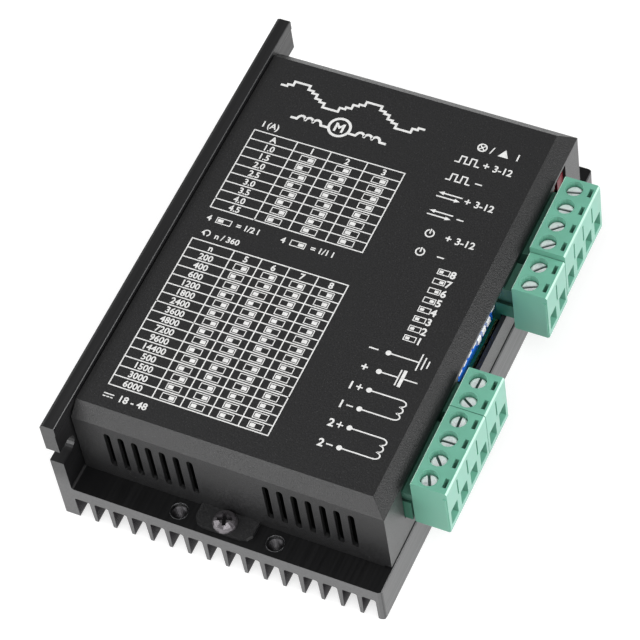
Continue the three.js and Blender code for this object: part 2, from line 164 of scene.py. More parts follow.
# black anodised extrusion: drawn streaks along its length
def heatsink_material():
    m = M("black_anodised")
    streak = m.noise(1.0, 4, 0.6, m.mapping((1500, 16, 1500)))
    cloud = m.noise(90, 3)
    fine = m.noise(3800, 3)
    big, n = m.maxabs()
    base = m.mix(m.ramp(streak, 0.3, 0.7), (0.0036, 0.0036, 0.0040), (0.0078, 0.0078, 0.0086))
    base = m.mix(m.ramp(cloud, 0.35, 0.75, 0, 0.4), base, (0.0068, 0.0066, 0.0072))
    ends_and_lit_side = m.math("MAXIMUM", m.ramp(n[1], 0.8, 0.95), m.math("MULTIPLY", m.ramp(n[0], 0.8, 0.95), m.ramp(m.xyz()[0], 0.0329, 0.0330)))
    # the lightening fades out with height between 11 and 18 mm: painted shade
    ends_and_lit_side = m.math("MULTIPLY", ends_and_lit_side, m.ramp(m.xyz()[2], 0.0110, 0.0180, 1.0, 0.15))
    # up-facing faces at or below 11 mm, the top of the base plate, are painted darker: painted shade under the
    # cover
    ledge_shade = m.math("MULTIPLY", m.ramp(n[2], 0.85, 0.97), m.ramp(m.xyz()[2], 0.0110, 0.0112, 1.0, 0.0))
    base = m.mix(m.math("MULTIPLY", ledge_shade, 0.6), base, (0.0022, 0.0022, 0.0024))
    # sawn ends are a little lighter than the rest of the drawn skin; the outer side face is lightened as painted
    # light
    col = m.mix(ends_and_lit_side, base, m.mix(m.ramp(fine, 0.3, 0.7), (0.030, 0.0300, 0.031), (0.044, 0.0440, 0.046)))
    # edges are lightened as a painted highlight, except the up-facing ones low down by the wall
    edge = m.ramp(m.math("SUBTRACT", 1.0, big), 0.06, 0.24)
    p = m.xyz()
    corner = m.math("MULTIPLY", m.ramp(p[2], 0.0117, 0.0119, 1.0, 0.0), m.math("MULTIPLY", m.ramp(p[0], -0.0389, -0.0388, 1.0, 0.0), m.ramp(n[2], 0.3, 0.5)))
    edge = m.math("MULTIPLY", edge, m.math("SUBTRACT", 1.0, corner))
    col = m.mix(m.math("MULTIPLY", edge, 0.35), col, (0.09, 0.092, 0.095))
    m.set(Base_Color=col, Metallic=m.math("MULTIPLY", ends_and_lit_side, 0.1), Roughness=m.ramp(streak, 0.3, 0.7, 0.33, 0.44), IOR=m.math("MULTIPLY_ADD", ledge_shade, -0.14, m.math("MULTIPLY_ADD", ends_and_lit_side, 0.32, 1.58)))
    m.bump(streak, 0.05, 0.00001)
    m.bump(fine, 0.14, 0.00002)
    return m

# fine-textured black powder coat
def sheet_material():
    m = M("black_powder_coat")
    grain = m.noise(3300, 2.5, 0.6)
    pores = m.voronoi(2900)
    flecks = m.voronoi(1350)
    cloud = m.noise(60, 2)
    big, n = m.maxabs()
    col = m.mix(m.ramp(grain, 0.35, 0.72), (0.0085, 0.0085, 0.0090), (0.0205, 0.0205, 0.0212))
    col = m.mix(m.ramp(cloud, 0.35, 0.7, 0, 0.35), col, (0.0125, 0.0125, 0.0130))
    col = m.mix(m.ramp(flecks, 0.05, 0.16, 0.8, 0.0), col, (0.062, 0.062, 0.064))
    edge = m.ramp(m.math("SUBTRACT", 1.0, big), 0.06, 0.24)
    side = m.math("MULTIPLY", m.ramp(n[0], 0.85, 0.98), m.ramp(m.xyz()[0], 0.0320, 0.0325))
    endwall = m.ramp(n[1], 0.85, 0.98)
    slope = m.math("MULTIPLY", m.ramp(n[0], 0.45, 0.55), m.ramp(n[0], 0.80, 0.90, 1.0, 0.0))
    # the rim of the mounting tab, below 12.5 mm, is lightened as a painted highlight
    tab_rim_highlight = m.math("MULTIPLY", edge, m.ramp(m.xyz()[2], 0.0122, 0.0125, 1.0, 0.0))
    col = m.mix(m.math("MULTIPLY", tab_rim_highlight, 0.55), col, (0.10, 0.10, 0.10))
    ior = m.math("MULTIPLY_ADD", side, 0.38, 1.52)
    ior = m.math("MULTIPLY_ADD", endwall, -0.13, m.math("MULTIPLY_ADD", slope, -0.12, ior))
    m.set(Base_Color=col, Roughness=m.ramp(grain, 0.3, 0.7, 0.36, 0.48), IOR=ior)
    m.bump(m.math("ADD", grain, m.math("MULTIPLY", pores, 0.5)), 0.6, 0.00009)
    return m

def board_material():
    m = M("board_mask")
    weave = m.math("ADD", m.math("SINE", m.math("MULTIPLY", m.xyz()[0], 2 * math.pi / 0.0006)), m.math("SINE", m.math("MULTIPLY", m.xyz()[1], 2 * math.pi / 0.0006)))
    big = m.noise(220, 3)
    tracks = m.voronoi(420, "DISTANCE_TO_EDGE", m.mapping((1, 0.55, 1)))
    col = m.mix(m.ramp(big, 0.3, 0.7), (0.004, 0.085, 0.050), (0.008, 0.13, 0.080))
    col = m.mix(m.ramp(tracks, 0.02, 0.06, 0.55, 0.0), col, (0.015, 0.20, 0.12))
    side = m.ramp(m.math("ABSOLUTE", m.xyz("Normal")[2]), 0.3, 0.7)
    col = m.mix(side, (0.16, 0.22, 0.11), col)
    m.set(Base_Color=col, Roughness=m.ramp(big, 0.3, 0.7, 0.22, 0.32), IOR=1.52)
    m.bump(weave, 0.05, 0.00002)
    m.bump(tracks, 0.15, 0.00003)
    return m

GREEN = srgb(105, 167, 145)
mats = {
    "black_anodised": heatsink_material(),
    "black_sheet": sheet_material(),
    "green_plug": plastic("green_plug", GREEN, 0.42, 0.07, sss=0.12, grain=0.10),
    "green_header": plastic("green_header", srgb(52, 116, 94), 0.40, 0.10, grain=0.10),
    "screw_steel": metal("screw_steel", (0.90, 0.91, 0.93), 0.36, 0.15, 0.06),
    "cage_steel": metal("cage_steel", (0.60, 0.60, 0.58), 0.34, 0.15, 0.12),
    "board_green": board_material(),
    "switch_blue": plastic("switch_blue", srgb(44, 132, 250), 0.35, 0.06),
    "switch_white": plastic("switch_white", srgb(238, 238, 238), 0.35, 0.03),
    "lamp_red": plastic("lamp_red", srgb(104, 12, 28), 0.35, 0.10, ior=1.35, grain=0.03),
    "chip_black": plastic("chip_black", (0.018, 0.018, 0.019), 0.55, 0.15, grain=0.3),
    "opto_white": plastic("opto_white", srgb(226, 224, 214), 0.5, 0.04, grain=0.2),
    "capacitor_sleeve": plastic("capacitor_sleeve", srgb(24, 34, 72), 0.3, 0.08),
    "pad_grey": plastic("pad_grey", srgb(140, 146, 155), 0.8, 0.06, grain=0.4),
    "clamp_aluminium": metal("clamp_aluminium", (0.66, 0.67, 0.68), 0.35, 0.25, 0.08, (1, 0.06, 1)),
    "post_nylon": plastic("post_nylon", srgb(226, 222, 204), 0.45, 0.04, sss=0.2),
}
def dark_screw_material():
    m = M("screw_black_nickel")
    big = m.noise(800, 3)
    z = m.xyz()[2]
    # flat faces below 12.8 mm, at the bottom of the cross recess, are painted near black: painted shade
    recess_shade = m.ramp(z, 0.0128, 0.0132, 1.0, 0.0)
    col = m.mix(m.ramp(big, 0.3, 0.7), (0.150, 0.140, 0.150), (0.23, 0.215, 0.23))
    rim = m.ramp(m.math("ABSOLUTE", m.xyz("Normal")[2]), 0.35, 0.8)
    col = m.mix(m.math("MULTIPLY", recess_shade, rim), col, (0.012, 0.012, 0.012))
    m.set(Base_Color=col, Metallic=0.85, Roughness=m.ramp(big, 0.3, 0.7, 0.24, 0.36))
    m.bump(m.noise(2600, 2), 0.12, 0.00002)
    return m
dark_screw = dark_screw_material()
def plug_material():
    m = M("green_plug")
    big = m.noise(150, 3)
    fine = m.noise(5000, 2)
    most, n = m.maxabs()
    x = m.xyz()[0]
    col = m.mix(m.ramp(big, 0.3, 0.7), scale3(GREEN, 0.94), scale3(GREEN, 1.06))
    # edges of upward faces, and all edges of the tongue and the wire side, are lightened as a painted highlight
    edge = m.ramp(m.math("SUBTRACT", 1.0, most), 0.05, 0.22)
    level = m.ramp(n[2], 0.15, 0.4)
    outside = m.math("MAXIMUM", m.ramp(x, 0.0350, 0.0352, 1.0, 0.0), m.ramp(x, 0.0424, 0.0426))
    edge = m.math("MULTIPLY", edge, m.math("MAXIMUM", level, outside))
    col = m.mix(m.math("MULTIPLY", edge, 0.75), col, (0.60, 0.86, 0.74))
    # the end faces are painted a shade darker: painted shade
    col = m.mix(m.math("MULTIPLY", m.ramp(m.math("ABSOLUTE", n[1]), 0.9, 0.99), 0.8), col, scale3(GREEN, 0.84))
    # the tongue that goes into the header is painted a much deeper green: painted shade from the header and cover
    col = m.mix(m.math("MULTIPLY", m.ramp(m.xyz()[0], 0.03455, 0.03475, 1.0, 0.0), 0.70), col, scale3(GREEN, 0.16))
    # the wire side is painted lighter and milkier: painted light
    wire = m.math("MULTIPLY", m.ramp(n[0], 0.85, 0.98), m.ramp(x, 0.0424, 0.0426))
    col = m.mix(m.math("MULTIPLY", wire, 0.28), col, (0.38, 0.58, 0.52))
    m.set(Base_Color=col, Roughness=m.ramp(big, 0.25, 0.75, 0.36, 0.48), IOR=1.5, Subsurface_Weight=0.12, Subsurface_Radius=(0.6, 1.0, 0.7), Subsurface_Scale=0.0012)
    m.bump(fine, 0.10, 0.00002)
    return m
mats["green_plug"] = plug_material()
def terminal_screw(z_top):
    m = M("screw_steel_%d" % round(z_top * 1e5))
    big = m.noise(700, 4)
    z = m.xyz()[2]
    # from 0.18 mm below the top downwards, in the slot, the colour is painted dark green: painted shade
    recess_shade = m.ramp(z, z_top - 0.00055, z_top - 0.00018, 1.0, 0.0)
    # the near-white, almost non-metallic head stands in for the reflection of a bright lamp: painted reflection
    col = m.mix(m.ramp(big, 0.3, 0.7), (0.90, 0.92, 0.94), (0.98, 0.98, 0.99))
    col = m.mix(m.ramp(m.noise(520, 2), 0.55, 0.72, 0.0, 0.5), col, (0.40, 0.45, 0.47))
    col = m.mix(recess_shade, col, (0.060, 0.105, 0.095))
    m.set(Base_Color=col, Metallic=m.math("MULTIPLY_ADD", recess_shade, -0.12, 0.14), Roughness=m.ramp(big, 0.3, 0.7, 0.22, 0.38))
    m.bump(m.noise(1.0, 3, vec=m.mapping((2600, 500, 2600))), 0.25, 0.00003)
    return m
def header_material():
    m = plastic("green_header", srgb(48, 112, 90), 0.42, 0.10, grain=0.10)
    n = m.xyz("Normal")
    base = m.bsdf.inputs["Base Color"].links[0].from_socket
    # all but the near-end faces are painted nearly black as painted shade from the cover, a little less beyond 34
    # mm
    up = m.math("MULTIPLY", m.ramp(n[1], -0.9, -0.7, 0.35, 1.0), m.ramp(m.xyz()[0], 0.0335, 0.0340, 1.0, 0.75))
    m.set(Base_Color=m.mix(m.math("MULTIPLY", up, 0.9), base, (0.004, 0.012, 0.009)))
    return m
mats["green_header"] = header_material()
screw_mats = {}
for nm in nodes:
    if nm.startswith("screw_power_") or nm.startswith("screw_signal_"):
        zt = round(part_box(nm)[1][2], 5)
        if zt not in screw_mats:
            screw_mats[zt] = terminal_screw(zt)
slot_of = {s["node"]: s["material_slot"] for s in frame["record"]["subparts"]}
BEVEL = {"black_anodised": 0.00022, "black_sheet": 0.00026, "green_plug": 0.00016, "green_header": 0.00012, "screw_steel": 0.00010, "cage_steel": 0.0001,
         "switch_white": 0.00012, "switch_blue": 0.00012, "lamp_red": 0.0003, "chip_black": 0.00012, "opto_white": 0.00015, "board_green": 0.00005, "clamp_aluminium": 0.00015}

def finish_mesh(o, width, angle=35, segments=2):
    """Softens sharp edges with a bevel and smooth shading, without touching the vertices themselves."""
    for p in o.data.polygons:
        p.use_smooth = True
    if width:
        b = o.modifiers.new("edge", "BEVEL")
        b.width = width
        b.segments = segments
        b.limit_method = "ANGLE"
        b.angle_limit = math.radians(angle)
        b.use_clamp_overlap = True
        b.harden_normals = True
        b.miter_outer = "MITER_ARC"
    w = o.modifiers.new("wn", "WEIGHTED_NORMAL")
    w.keep_sharp = True

for name, o in nodes.items():
    o.data.materials.clear()
    if name.startswith("cover_screw"):
        finish = dark_screw
    elif name.startswith("screw_power_") or name.startswith("screw_signal_"):
        finish = screw_mats[round(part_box(name)[1][2], 5)]
    else:
        finish = mats[slot_of[name]]
    o.data.materials.append(finish.m)
    finish_mesh(o, BEVEL.get(slot_of[name], 0.0001))

# ---------------------------------------------------------------- helpers for new pieces
def mesh_object(name, verts, faces, mat, body="housing"):
    me = bpy.data.meshes.new(name)
    me.from_pydata([tuple(v) for v in verts], [], faces)
    me.update()
    o = bpy.data.objects.new(name, me)
    bpy.context.scene.collection.objects.link(o)
    o.data.materials.append(mat)
    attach(o, body)
    return o

def join_as(name, parts):
    bpy.context.view_layer.update()
    dg = bpy.context.evaluated_depsgraph_get()
    bm = bmesh.new()
    for p in parts:
        me = bpy.data.meshes.new_from_object(p.evaluated_get(dg))
        me.transform(p.matrix_world)
        bm.from_mesh(me)
        bpy.data.meshes.remove(me)
    out = bpy.data.meshes.new(name)
    bm.to_mesh(out)
    bm.free()
    for p in parts:
        bpy.data.objects.remove(p)
    o = bpy.data.objects.new(name, out)
    bpy.context.scene.collection.objects.link(o)
    return o

# ---------------------------------------------------------------- fine parts of the surface
def strip(vs, fs, ring_a, ring_b):
    """Closes the band between two equal rings of points already listed in vs."""
    n = len(ring_a)
    for i in range(n):
        j = (i + 1) % n
        fs.append((ring_a[i], ring_a[j], ring_b[j], ring_b[i]))

# fine lengthwise ribs drawn into both flanks of every fin
RIB, DEPTH = 0.42, 0.07
vs, fs = [], []
def ribbed_flank(x_low, x_high, side):
    z0, z1 = 0.25, 6.65
    n = int((z1 - z0) / RIB)
    prof = []
    for i in range(n + 1):
        z = z0 + RIB * i
        x = x_low + (x_high - x_low) * z / 6.75
        prof.append((x + side * 0.005, z))
        if i < n:
            zm = z + RIB * 0.5
            prof.append((x_low + (x_high - x_low) * zm / 6.75 + side * DEPTH, zm))
    prof += [(x_high - side * 0.05, z0 + RIB * n), (x_low - side * 0.05, z0)]
    if side < 0:
        prof = prof[::-1]
    b, k = len(vs), len(prof)
    for y in (0.03, 117.97):
        for x, z in prof:
            vs.append(D(x, y, z))
    ra, rb = list(range(b, b + k)), list(range(b + k, b + 2 * k))
    strip(vs, fs, rb, ra)
    fs.append(tuple(ra))
    fs.append(tuple(rb[::-1]))
for k in range(15):
    x = 8.1 + 4.507 * k
    ribbed_flank(x - 0.2, x, 1)
    ribbed_flank(x - 0.95, x - 1.15, -1)
ribbed_flank(3.45, 3.35, 1)
ribbed_flank(74.45, 74.4, -1)
rib_m = M("drawn_ribs")
rs = rib_m.noise(1.0, 4, 0.6, rib_m.mapping((1500, 30, 1500)))
rib_m.set(Base_Color=rib_m.mix(rib_m.ramp(rs, 0.3, 0.7), (0.010, 0.0085, 0.0105), (0.024, 0.020, 0.025)), Roughness=rib_m.ramp(rs, 0.3, 0.7, 0.36, 0.48), IOR=1.5)
rib_m.bump(rib_m.noise(3600, 2), 0.1, 0.00002)
ribs = mesh_object("fin_ribs", vs, fs, rib_m.m, "housing")

# open seams of the folded sheet, where two flaps meet
vs, fs = [], []
def seam(a, b, r=0.085):
    a, b = Vector(a), Vector(b)
    d = (b - a).normalized()
    u = d.cross(Vector((0, 0, 1)))
    if u.length < 0.1:
        u = d.cross(Vector((1, 0, 0)))
    u.normalize()
    w = d.cross(u)
    k = len(vs)
    for c in (a, b):
        for i in range(6):
            t = math.pi / 3 * i
            q = c + r * (math.cos(t) * u + math.sin(t) * w)
            vs.append(D(q.x, q.y, q.z))
    ra, rb = list(range(k, k + 6)), list(range(k + 6, k + 12))
    strip(vs, fs, ra, rb)
    fs.append(tuple(ra[::-1]))
    fs.append(tuple(rb))
E = 0.05
for y0, y1, y2 in ((6.4, 9.4, 14.7), (111.6, 108.6, 104.3)):
    sg = 1 if y1 > y0 else -1
    seam((75.7 - E, y0 + sg * E, 29.8 - E), (72.3 - E, y1 + sg * E, 32.7 - E))
    seam((75.7 - E, y0 + sg * 0.1, 29.8 - E), (75.7 - E, y2, 29.8 - E), 0.07)
seam_m = plastic("seam_shadow", (0.0022, 0.0022, 0.0024), 0.7, 0.2, grain=0.2)
mesh_object("cover_seams", vs, fs, seam_m.m, "housing")

# threads and worn chamfers of the spare tapped holes
vs, fs = [], []
def thread(x, y, r, z0, z1, pitch=0.55, seg=28):
    turns = (z1 - z0) / pitch
    n = int(turns * seg)
    rings = []
    for i in range(n + 1):
        t = 2 * math.pi * i / seg
        z = z0 + pitch * i / seg
        k = len(vs)
        for dr, dz in ((0.02, -0.2), (-0.26, 0.0), (0.02, 0.2)):
            vs.append(D(x + (r + dr) * math.cos(t), y + (r + dr) * math.sin(t), z + dz))
        rings.append([k, k + 1, k + 2])
    for a, b in zip(rings, rings[1:]):
        strip(vs, fs, b, a)
    fs.append(tuple(rings[0]))
    fs.append(tuple(rings[-1][::-1]))
def lathe_mm(profile, x, y, seg=40):
    rings = []
    for i in range(seg):
        t = 2 * math.pi * i / seg
        k = len(vs)
        for r, z in profile:
            vs.append(D(x + r * math.cos(t), y + r * math.sin(t), z))
        rings.append(list(range(k, k + len(profile))))
    for i in range(seg):
        strip(vs, fs, rings[i], rings[(i + 1) % seg])
for x in (27.6, 50.2):
    for y in (3.3, 114.7):
        thread(x, y, 1.75, 5.7, 10.2)
th_m = metal("tapped_metal", (0.055, 0.053, 0.056), 0.36, 0.12, 0.2)
to = mesh_object("tapped_threads", vs, fs, th_m.m, "housing")
for p in to.data.polygons:
    p.use_smooth = False
vs, fs = [], []
for x in (27.6, 50.2):
    for y in (3.3, 114.7):
        lathe_mm([(1.68, 10.40), (1.72, 10.38), (2.08, 10.78), (2.06, 10.83), (2.00, 10.85), (1.96, 10.84)], x, y)
ch_m = metal("hole_chamfer", (0.13, 0.13, 0.135), 0.30, 0.12, 0.2)
co2 = mesh_object("hole_chamfers", vs, fs, ch_m.m, "housing")
for p in co2.data.polygons:
    p.use_smooth = True

ring_m = plastic("green_ring", scale3(GREEN, 0.93), 0.42, 0.05)
# shallow rings round the screw wells of each plug, in a slightly darker green that is painted shade round the
# wells
for plug, names in (("power_plug_4p", [1, 2, 3, 4]), ("power_plug_2p", [5, 6]), ("signal_plug_2p", [1, 2]), ("signal_plug_4p", [3, 4, 5, 6])):
    vs, fs = [], []
    lo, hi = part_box(plug)
    top = hi[2] * 1000
    for i in names:
        g = "screw_%s_%d" % (plug.split("_")[0], i)
        a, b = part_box(g)
        cx, cy = (a[0] + b[0]) * 500 - SX, (a[1] + b[1]) * 500 - SY
        lathe_mm([(2.26, top - 0.05), (2.28, top + 0.004), (2.35, top + 0.016), (2.42, top + 0.004), (2.44, top - 0.05)], cx, cy, 44)
    ro = mesh_object(plug + "_rings", vs, fs, ring_m.m, plug + "_body")
    for p in ro.data.polygons:
        p.use_smooth = True

# ---------------------------------------------------------------- printing on the cover: generic marks only
INK_Z0, INK_Z1 = 32.702, 32.722
ink_v, ink_f = [], []
def ink_poly(pts):
    """A flat printed patch with the outline pts, in design millimetres."""
    area2 = sum(p[0] * q[1] - q[0] * p[1] for p, q in zip(pts, pts[1:] + pts[:1]))
    if area2 < 0:
        pts = pts[::-1]
    n = len(pts)
    b = len(ink_v)
    for z in (INK_Z0, INK_Z1 + (len(ink_f) % 11) * 0.0005):
        for x, y in pts:
            ink_v.append(D(x, y, z))
    ink_f.append(tuple(range(b + n, b + 2 * n)))
    ink_f.append(tuple(reversed(range(b, b + n))))
    for i in range(n):
        j = (i + 1) % n
        ink_f.append((b + i, b + j, b + n + j, b + n + i))
def ink_path(pts, w=0.3, closed=False):
    """One mitred ribbon w mm wide along pts."""
    q = []
    for p in pts:
        if not q or math.hypot(p[0] - q[-1][0], p[1] - q[-1][1]) > 1e-6:
            q.append(p)
    n = len(q)
    h = w / 2
    def unit(a, b):
        l = math.hypot(b[0] - a[0], b[1] - a[1])
        return ((b[0] - a[0]) / l, (b[1] - a[1]) / l)
    left, right = [], []
    for i in range(n):
        d0 = unit(q[i - 1], q[i]) if (closed or i > 0) else None
        d1 = unit(q[i], q[(i + 1) % n]) if (closed or i < n - 1) else None
        if d0 is None or d1 is None:
            d = d0 or d1
            e = -h if d0 is None else h
            c = (q[i][0] + d[0] * e, q[i][1] + d[1] * e)
            o = (-d[1] * h, d[0] * h)
        else:
            c = q[i]
            bx, by = -(d0[1] + d1[1]), d0[0] + d1[0]
            l = math.hypot(bx, by)
            bx, by = bx / l, by / l
            k = min(h / max(0.35, bx * -d0[1] + by * d0[0]), 2.2 * h)
            o = (bx * k, by * k)
        left.append((c[0] + o[0], c[1] + o[1]))
        right.append((c[0] - o[0], c[1] - o[1]))
    z1 = INK_Z1 + (len(ink_f) % 13) * 0.0004
    b = len(ink_v)
    for z in (INK_Z0, z1):
        for x, y in left:
            ink_v.append(D(x, y, z))
        for x, y in right:
            ink_v.append(D(x, y, z))
    L0, R0, L1, R1 = b, b + n, b + 2 * n, b + 3 * n
    for i in range(n if closed else n - 1):
        j = (i + 1) % n
        ink_f.append((L1 + i, R1 + i, R1 + j, L1 + j))
        ink_f.append((L0 + i, L0 + j, R0 + j, R0 + i))
        ink_f.append((L0 + i, L1 + i, L1 + j, L0 + j))
        ink_f.append((R0 + i, R0 + j, R1 + j, R1 + i))
    if not closed:
        ink_f.append((L0, R0, R1, L1))
        ink_f.append((L0 + n - 1, L1 + n - 1, R1 + n - 1, R0 + n - 1))
def ink_line(a, b, w=0.3):
    ink_path([a, b], w)
def ink_rect(x0, y0, x1, y1, w=0.25):
    ink_path([(x0, y0), (x1, y0), (x1, y1), (x0, y1)], w, True)
def ink_fill(x0, y0, x1, y1):
    ink_poly([(x0, y0), (x1, y0), (x1, y1), (x0, y1)])
def ink_disc(x, y, r, n=24):
    ink_poly([(x + r * math.cos(2 * math.pi * i / n), y + r * math.sin(2 * math.pi * i / n)) for i in range(n)])
def ink_arc(x, y, r, a0, a1, w=0.3, n=16):
    whole = abs(a1 - a0) >= 360
    k = n if whole else n + 1
    ink_path([(x + r * math.cos(math.radians(a0 + (a1 - a0) * i / n)), y + r * math.sin(math.radians(a0 + (a1 - a0) * i / n))) for i in range(k)], w, whole)
def ink_coil(x, y0, y1, bumps, w=0.3, side=1):
    """A winding: half rounds from y0 to y1 bulging towards +X."""
    r = (y0 - y1) / bumps / 2
    pts = []
    for k in range(bumps):
        c = y0 - r * (2 * k + 1)
        pts += [(x + side * r * math.cos(math.radians(t)), c + r * math.sin(math.radians(t))) for t in range(88, -89, -22)]
    ink_path(pts, w)
texts = []
def ink_text(s, x, y, h, align="LEFT", shear=0.0, bold=0.0):
    """Digits and signs h mm tall, baseline at y."""
    c = bpy.data.curves.new("t", "FONT")
    c.body = s
    c.size = h / 1000 / 0.72
    c.align_x = align
    c.shear = shear
    c.offset = bold / 1000
    c.extrude = 0.00001
    c.resolution_u = 3
    o = bpy.data.objects.new("t", c)
    bpy.context.scene.collection.objects.link(o)
    o.location = D(x, y, (INK_Z0 + INK_Z1) / 2)
    texts.append(o)

def toggle(x, y, on, w=3.4, h=1.5):
    """Outline of a slide switch with its knob at one end."""
    ink_rect(x - w / 2, y - h / 2, x + w / 2, y + h / 2, 0.2)
    if on:
        ink_fill(x + 0.1, y - h / 2 + 0.3, x + w / 2 - 0.3, y + h / 2 - 0.3)
    else:
        ink_fill(x - w / 2 + 0.3, y - h / 2 + 0.3, x - 0.1, y + h / 2 - 0.3)

# title band: a sine drawn as steps, which is what the module makes
x0, x1, yc, amp, n = 8.9, 44.1, 100.9, 2.35, 28
pts = []
for i in range(n):
    v = yc + amp * round(4 * math.sin(2 * math.pi * 2 * (i + 0.5) / n)) / 4
    pts += [(x0 + (x1 - x0) * i / n, v), (x0 + (x1 - x0) * (i + 1) / n, v)]
ink_path(pts, 0.55)
# motor sign with its two windings
cx, cy = 26.2, 94.6
ink_arc(cx, cy, 2.45, 0, 360, 0.62, 40)
ink_text("M", cx, cy - 1.15, 2.3, "CENTER", 0, 0.12)
for sgn in (-1, 1):
    r = 0.95
    pts = [(cx + sgn * 2.85, cy - 0.9), (cx + sgn * 4.2, cy - 0.9)]
    for k in range(3):
        c = cx + sgn * (4.3 + r * (2 * k + 1))
        pts += [(c - sgn * r * math.cos(math.radians(t)), cy - 0.9 + 1.15 * math.sin(math.radians(t))) for t in range(12, 169, 26)]
    pts += [(cx + sgn * (4.4 + 6 * r), cy - 0.9), (cx + sgn * (5.6 + 6 * r), cy - 0.9)]
    ink_path(pts, 0.6)

def grid(xs, ytop, ybot, rows, w=0.27):
    for x in xs:
        ink_line((x, ybot), (x, ytop), w)
    for r in range(rows + 1):
        y = ytop + (ybot - ytop) * r / rows
        ink_line((xs[0], y), (xs[-1], y), w)
# first table: current against switches 1 to 3
XS, YT, YB, N = [8.6, 19.2, 27.4, 36.2, 45.05], 87.7, 64.9, 9
grid(XS, YT, YB, N)
rh = (YT - YB) / N
ink_text("I (A)", 9.6, 89.1, 1.6, "LEFT", 0, 0.05)
def cellx(i):
    return (XS[i] + XS[i + 1]) / 2
ink_text("A", cellx(0), YT - rh * 0.5 - 0.8, 1.6, "CENTER", 0, 0.06)
for j in range(3):
    ink_text(str(j + 1), cellx(j + 1), YT - rh * 0.5 - 0.8, 1.6, "CENTER", 0, 0.06)
vals = ["1.0", "1.5", "2.0", "2.5", "3.0", "3.5", "4.0", "4.5"]
for r in range(8):
    y = YT - rh * (r + 1.5)
    ink_text(vals[r], cellx(0), y - 0.8, 1.6, "CENTER", 0, 0.05)
    for j in range(3):
        toggle(cellx(j + 1), y, not (r >> j) & 1)
# how switch 4 sets the holding current
y = 62.1
ink_text("4", 9.2, y - 0.7, 1.5, "LEFT", 0, 0.05)
toggle(13.2, y, False, 3.4, 1.4)
ink_text("= 1/2 I", 16.2, y - 0.7, 1.5, "LEFT", 0, 0.05)
ink_text("4", 27.0, y - 0.7, 1.5, "LEFT", 0, 0.05)
toggle(31.0, y, True, 3.4, 1.4)
ink_text("= 1/1 I", 34.0, y - 0.7, 1.5, "LEFT", 0, 0.05)
# second table: steps a turn against switches 5 to 8
ink_arc(11.0, 58.1, 0.75, -60, 240, 0.28, 12)
ink_poly([(9.75, 57.9), (10.75, 57.7), (10.2, 58.6)])
ink_text("n / 360", 13.0, 57.3, 1.5, "LEFT", 0, 0.05)
XS, YT, YB, N = [8.6, 18.8, 25.4, 32.0, 38.9, 45.8], 55.9, 15.2, 16
grid(XS, YT, YB, N)
rh = (YT - YB) / N
ink_text("n", cellx(0), YT - rh * 0.5 - 0.75, 1.6, "CENTER", 0, 0.06)
for j in range(4):
    ink_text(str(j + 5), cellx(j + 1), YT - rh * 0.5 - 0.8, 1.6, "CENTER", 0, 0.06)
steps = ["200", "400", "600", "1200", "1800", "2400", "3600", "4800", "7200", "9600", "14400", "500", "1500", "3000", "6000"]
for r in range(15):
    y = YT - rh * (r + 1.5)
    ink_text(steps[r], cellx(0), y - 0.8, 1.6, "CENTER", 0, 0.05)
    for j in range(4):
        toggle(cellx(j + 1), y, not (r >> j) & 1, 3.2, 1.5)
# supply range with the direct-current sign
ink_line((8.8, 12.9), (11.0, 12.9), 0.25)
for k in range(3):
    ink_line((8.85 + k * 0.85, 12.2), (9.25 + k * 0.85, 12.2), 0.25)
ink_text("18 - 48", 12.2, 11.8, 1.7, "LEFT", 0, 0.05)

# signal side: pictures of pulse, direction and enable, each with its plus and minus
def pulses(x, y):
    ink_path([(x, y - 0.9), (x + 0.9, y - 0.9), (x + 0.9, y + 0.9), (x + 2.1, y + 0.9), (x + 2.1, y - 0.9), (x + 3.3, y - 0.9), (x + 3.3, y + 0.9), (x + 4.5, y + 0.9), (x + 4.5, y - 0.9), (x + 5.4, y - 0.9)], 0.32)
def arrows(x, y):
    ink_line((x + 0.9, y + 0.5), (x + 5.4, y + 0.5), 0.32)
    ink_poly([(x, y + 0.5), (x + 1.3, y + 0.0), (x + 1.3, y + 1.0)])
    ink_line((x, y - 0.6), (x + 4.5, y - 0.6), 0.32)
    ink_poly([(x + 5.4, y - 0.6), (x + 4.1, y - 0.1), (x + 4.1, y - 1.1)])
def enable(x, y):
    ink_arc(x + 2.6, y, 0.95, 120, 420, 0.32, 14)
    ink_line((x + 2.6, y + 1.05), (x + 2.6, y + 0.1), 0.32)
ink_arc(58.2, 100.0, 1.0, 0, 360, 0.32, 20)
ink_line((57.5, 99.3), (58.9, 100.7), 0.28)
ink_line((57.5, 100.7), (58.9, 99.3), 0.28)
ink_text("/", 60.2, 99.1, 1.8, "LEFT", 0, 0.05)
ink_poly([(62.2, 99.0), (64.6, 99.0), (63.4, 101.1)])
ink_text("1", 66.0, 99.1, 1.8, "LEFT", 0, 0.05)
for y, pic, plus in ((95.5, pulses, 1), (90.3, pulses, 0), (85.1, arrows, 1), (80.0, arrows, 0), (74.6, enable, 1), (69.4, enable, 0)):
    pic(54.0, y)
    if plus:
        ink_text("+", 60.2, y - 0.9, 1.9, "LEFT", 0, 0.06)
        ink_text("3-12", 62.6, y - 0.9, 1.8, "LEFT", 0, 0.05)
    else:
        ink_line((60.7, y), (62.0, y), 0.32)
for k in range(8):
    ink_text(str(8 - k), 66.4, 66.0 - 2.6 * k - 0.9, 1.85, "RIGHT", 0, 0.07)
    toggle(63.6, 66.0 - 2.6 * k, False, 2.6, 1.3) if k in (0, 4, 5, 6, 7) else toggle(63.6, 66.0 - 2.6 * k, True, 2.6, 1.3)

